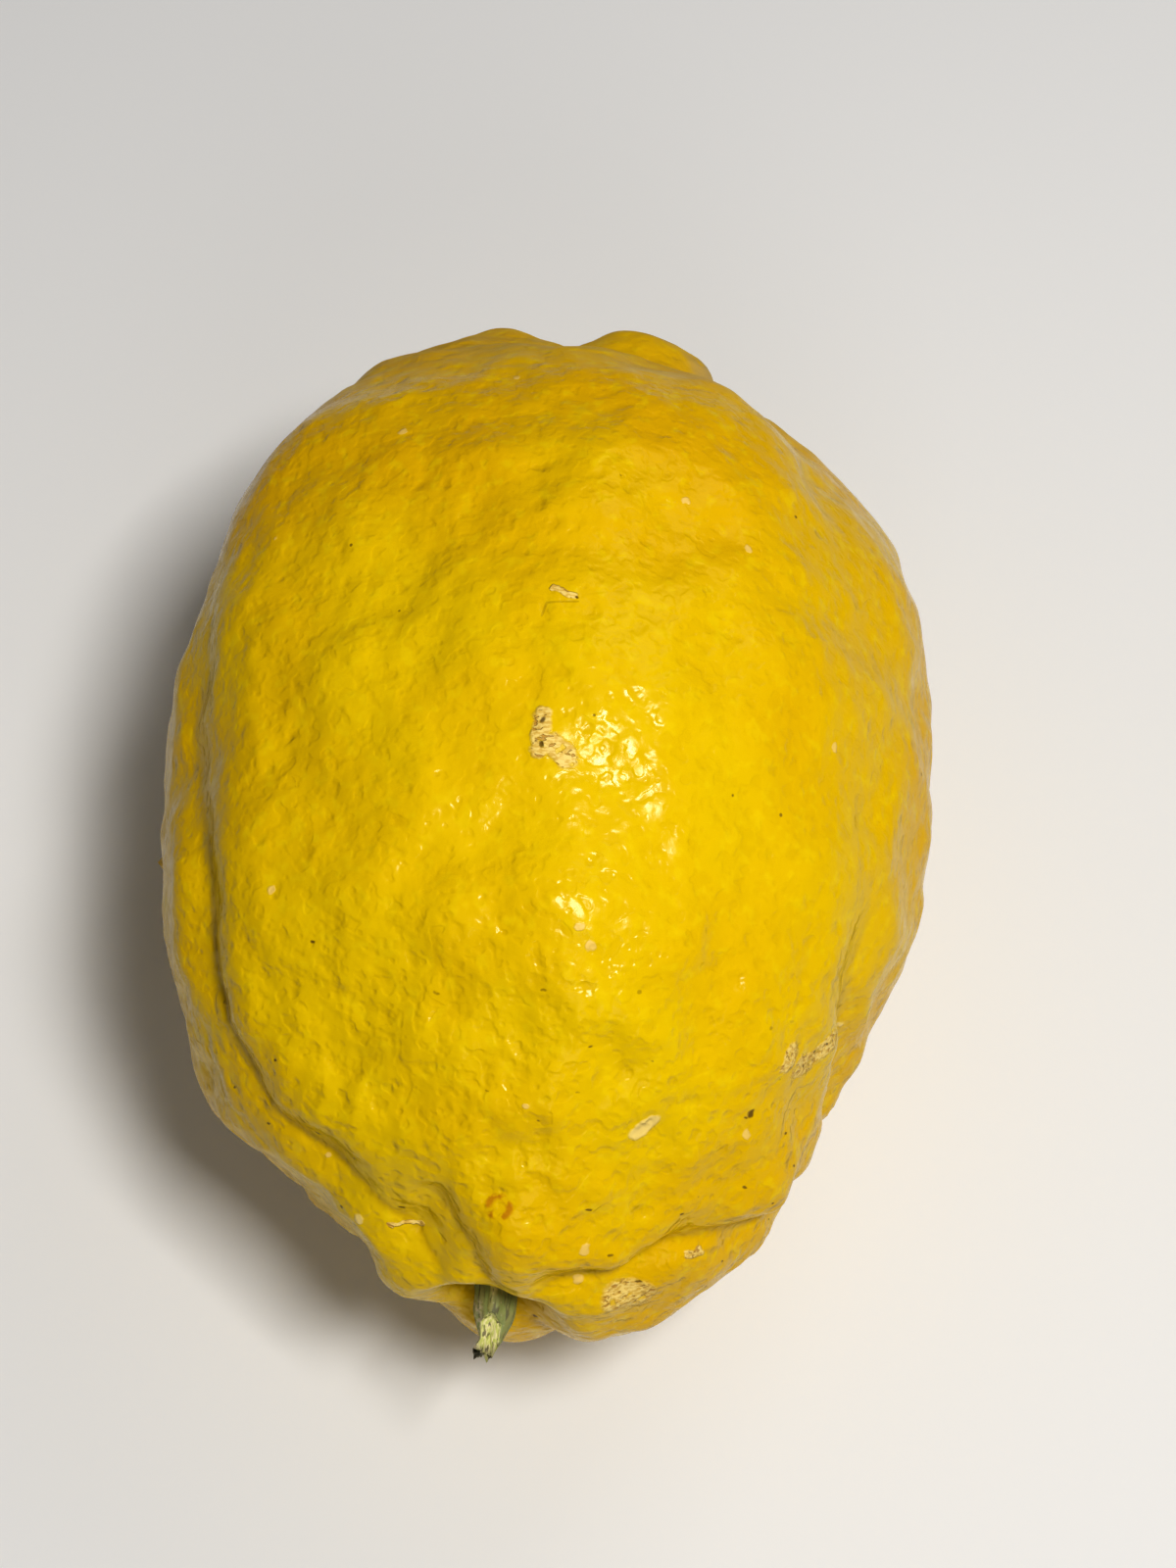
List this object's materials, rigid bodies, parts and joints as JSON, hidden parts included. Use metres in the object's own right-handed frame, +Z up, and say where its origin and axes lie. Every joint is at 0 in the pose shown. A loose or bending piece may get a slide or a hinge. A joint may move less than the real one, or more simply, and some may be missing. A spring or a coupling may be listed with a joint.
{
  "type": "lemon",
  "caption": "Large rough-skinned lemon lying on its side, with a blunt nipple and a torn stub of stem.",
  "frame": {"origin": "centre of the bounding box's bottom face, in the plane the lemon lies on", "axes": "+Y along the fruit from the stem towards the nipple, +Z up, +X to the right when looking from the stem end"},
  "size_m": [0.0724, 0.1046, 0.072],
  "materials": {
    "lemon_rind": "waxy, pebbled golden yellow rind",
    "dry_calyx": "dry, matt olive brown",
    "green_stem": "matt green bark with a pale torn end"
  },
  "bodies": {
    "root": {"lemon_fruit": "lemon_rind", "calyx": "dry_calyx", "stem_stub": "green_stem"}
  },
  "joints": []
}
